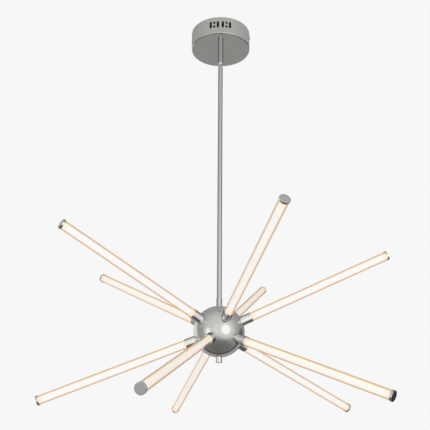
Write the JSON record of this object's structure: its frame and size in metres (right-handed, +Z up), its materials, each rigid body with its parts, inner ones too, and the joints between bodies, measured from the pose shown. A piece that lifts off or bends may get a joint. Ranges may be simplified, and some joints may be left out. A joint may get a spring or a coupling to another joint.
{
  "type": "sputnik chandelier",
  "caption": "Sputnik chandelier: glowing clear tubes in an upper and a lower ring round a chrome ball, hung on a stem with a hang straight swivel from a round vented canopy.",
  "frame": {"origin": "middle of the ceiling face of the canopy and its mounting plate", "axes": "+Z up, with everything hanging below z = 0; +X along the first upper arm, with one side screw 13 degrees off it towards -Y; the vents that face the room are on -Y"},
  "size_m": [0.8278, 0.7994, 0.9735],
  "materials": {
    "canopy_chrome": "smooth satin chrome",
    "hub_chrome": "polished chrome",
    "trim_chrome": "bright polished chrome",
    "stem_chrome": "drawn tube, satin chrome",
    "clear_tube": "clear acrylic with a faint warm tint",
    "frosted_sleeve": "frosted, lit from inside, warm white",
    "light_bar": "aluminium strip with yellow light chips",
    "zinc_steel": "zinc plated, slightly brushed",
    "pipe_brass": "threaded brass pipe",
    "ground_green": "green ground screw",
    "driver_white": "fine grained white plastic",
    "block_ivory": "ivory plastic",
    "board_green": "green circuit board",
    "lead_red": "smooth wire insulation",
    "lead_grey": "smooth cable sheath"
  },
  "bodies": {
    "canopy": {"mounting_bracket": "zinc_steel", "canopy_cover": "canopy_chrome", "canopy_side_screws": "trim_chrome", "ground_screw": "ground_green", "led_driver": "driver_white", "terminal_block": "block_ivory", "mains_leads": "lead_red", "output_lead": "lead_grey", "canopy_nipple": "pipe_brass", "canopy_washer": "zinc_steel", "canopy_nut": "zinc_steel"},
    "swivel": {"swivel_socket": "trim_chrome"},
    "hung_light": {"swivel_ball": "trim_chrome", "stem_rod": "stem_chrome", "stem_collar": "stem_chrome", "stem_lead": "lead_grey", "hub_upper_shell": "hub_chrome", "hub_lower_shell": "hub_chrome", "hub_center_rod": "pipe_brass", "hub_nuts": "zinc_steel", "hub_finial": "trim_chrome", "distribution_board": "board_green", "hub_leads": "lead_grey", "arm_nipples": "pipe_brass", "arm_nuts": "zinc_steel", "upper_sleeves": "frosted_sleeve", "lower_sleeves": "frosted_sleeve", "upper_light_bars": "light_bar", "lower_light_bars": "light_bar", "upper_socket_1": "trim_chrome", "upper_socket_2": "trim_chrome", "upper_socket_3": "trim_chrome", "upper_socket_4": "trim_chrome", "upper_socket_5": "trim_chrome", "lower_socket_1": "trim_chrome", "lower_socket_2": "trim_chrome", "lower_socket_3": "trim_chrome", "lower_socket_4": "trim_chrome", "lower_socket_5": "trim_chrome", "upper_tube_1": "clear_tube", "upper_tube_2": "clear_tube", "upper_tube_3": "clear_tube", "upper_tube_4": "clear_tube", "upper_tube_5": "clear_tube", "lower_tube_1": "clear_tube", "lower_tube_2": "clear_tube", "lower_tube_3": "clear_tube", "lower_tube_4": "clear_tube", "lower_tube_5": "clear_tube", "upper_end_cap_1": "trim_chrome", "upper_end_cap_2": "trim_chrome", "upper_end_cap_3": "trim_chrome", "upper_end_cap_4": "trim_chrome", "upper_end_cap_5": "trim_chrome", "lower_end_cap_1": "trim_chrome", "lower_end_cap_2": "trim_chrome", "lower_end_cap_3": "trim_chrome", "lower_end_cap_4": "trim_chrome", "lower_end_cap_5": "trim_chrome"}
  },
  "joints": [
    {"name": "swivel_turn", "type": "hinge", "parent": "canopy", "child": "swivel", "pos_m": [0, 0, -0.0868], "axis": [0, 0, 1], "range_deg": [-170, 170]},
    {"name": "swivel_tilt", "type": "hinge", "parent": "swivel", "child": "hung_light", "pos_m": [0, 0, -0.0868], "axis": [1, 0, 0], "range_deg": [-40, 40]}
  ]
}
